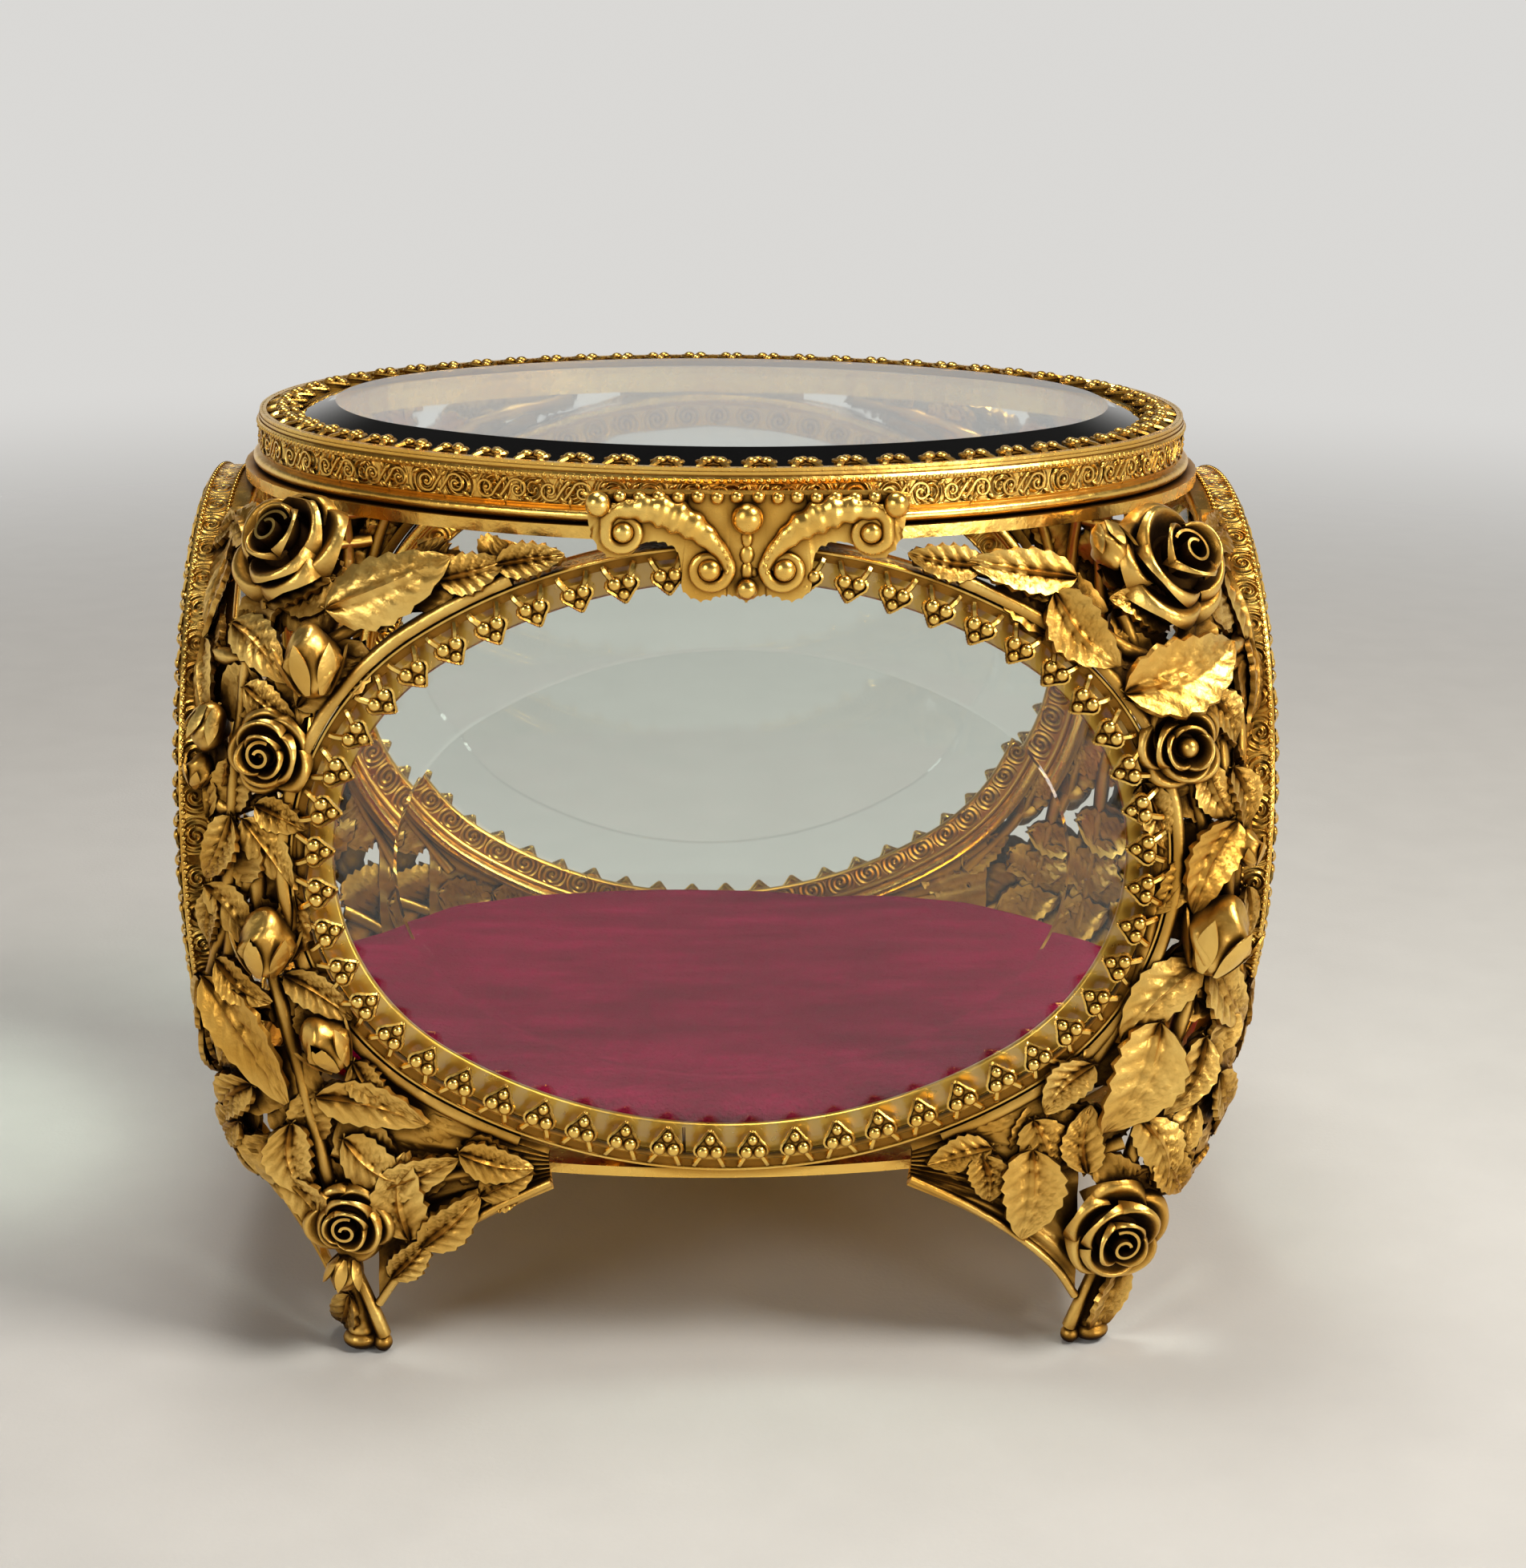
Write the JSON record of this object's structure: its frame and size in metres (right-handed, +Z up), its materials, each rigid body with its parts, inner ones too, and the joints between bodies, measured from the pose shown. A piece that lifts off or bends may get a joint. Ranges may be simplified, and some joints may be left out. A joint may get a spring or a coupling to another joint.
{
  "type": "glass casket box",
  "caption": "Oval-lidded gilt metal and bevelled glass casket with pierced rose castings at the corners, a velvet pad and a lid that hinges open at the back.",
  "frame": {"origin": "centre of the box on the surface that it stands on", "axes": "+X to the right seen from the front, +Y to the back where the hinge is, +Z up"},
  "size_m": [0.1484, 0.1128, 0.1239],
  "materials": {
    "lid_band": "gilt, lightly worn",
    "lid_crown": "gilt, lightly worn",
    "lid_glass": "clear, bevelled",
    "lid_clasp": "gilt, lightly worn",
    "lid_hinge_leaf": "gilt, lightly worn",
    "body_hinge_leaf": "gilt, lightly worn",
    "hinge_pin": "gilt, antiqued in the hollows",
    "mouth_ring": "gilt, lightly worn",
    "floor_plate": "gilt, lightly worn",
    "front_window_ring": "gilt, lightly worn",
    "front_window_lace": "gilt, lightly worn",
    "front_window_glass": "clear, bevelled",
    "back_window_ring": "gilt, lightly worn",
    "back_window_lace": "gilt, lightly worn",
    "back_window_glass": "clear, bevelled",
    "left_window_ring": "gilt, lightly worn",
    "left_window_lace": "gilt, lightly worn",
    "left_window_glass": "clear, bevelled",
    "right_window_ring": "gilt, lightly worn",
    "right_window_lace": "gilt, lightly worn",
    "right_window_glass": "clear, bevelled",
    "front_left_casting": "gilt, antiqued in the hollows",
    "front_right_casting": "gilt, antiqued in the hollows",
    "back_left_casting": "gilt, antiqued in the hollows",
    "back_right_casting": "gilt, antiqued in the hollows",
    "pad_card": "pressed card, uncoated",
    "velvet_pad": "cotton velvet"
  },
  "bodies": {
    "box": {"body_hinge_leaf": "body_hinge_leaf", "hinge_pin": "hinge_pin", "mouth_ring": "mouth_ring", "floor_plate": "floor_plate", "front_window_ring": "front_window_ring", "front_window_lace": "front_window_lace", "front_window_glass": "front_window_glass", "back_window_ring": "back_window_ring", "back_window_lace": "back_window_lace", "back_window_glass": "back_window_glass", "left_window_ring": "left_window_ring", "left_window_lace": "left_window_lace", "left_window_glass": "left_window_glass", "right_window_ring": "right_window_ring", "right_window_lace": "right_window_lace", "right_window_glass": "right_window_glass", "front_left_casting": "front_left_casting", "front_right_casting": "front_right_casting", "back_left_casting": "back_left_casting", "back_right_casting": "back_right_casting", "pad_card": "pad_card", "velvet_pad": "velvet_pad"},
    "lid": {"lid_band": "lid_band", "lid_crown": "lid_crown", "lid_glass": "lid_glass", "lid_clasp": "lid_clasp", "lid_hinge_leaf": "lid_hinge_leaf"}
  },
  "joints": [
    {"name": "lid_hinge", "type": "hinge", "parent": "box", "child": "lid", "pos_m": [0, 0.0538, 0.11555], "axis": [-1, 0, 0], "range_deg": [0, 95]}
  ]
}
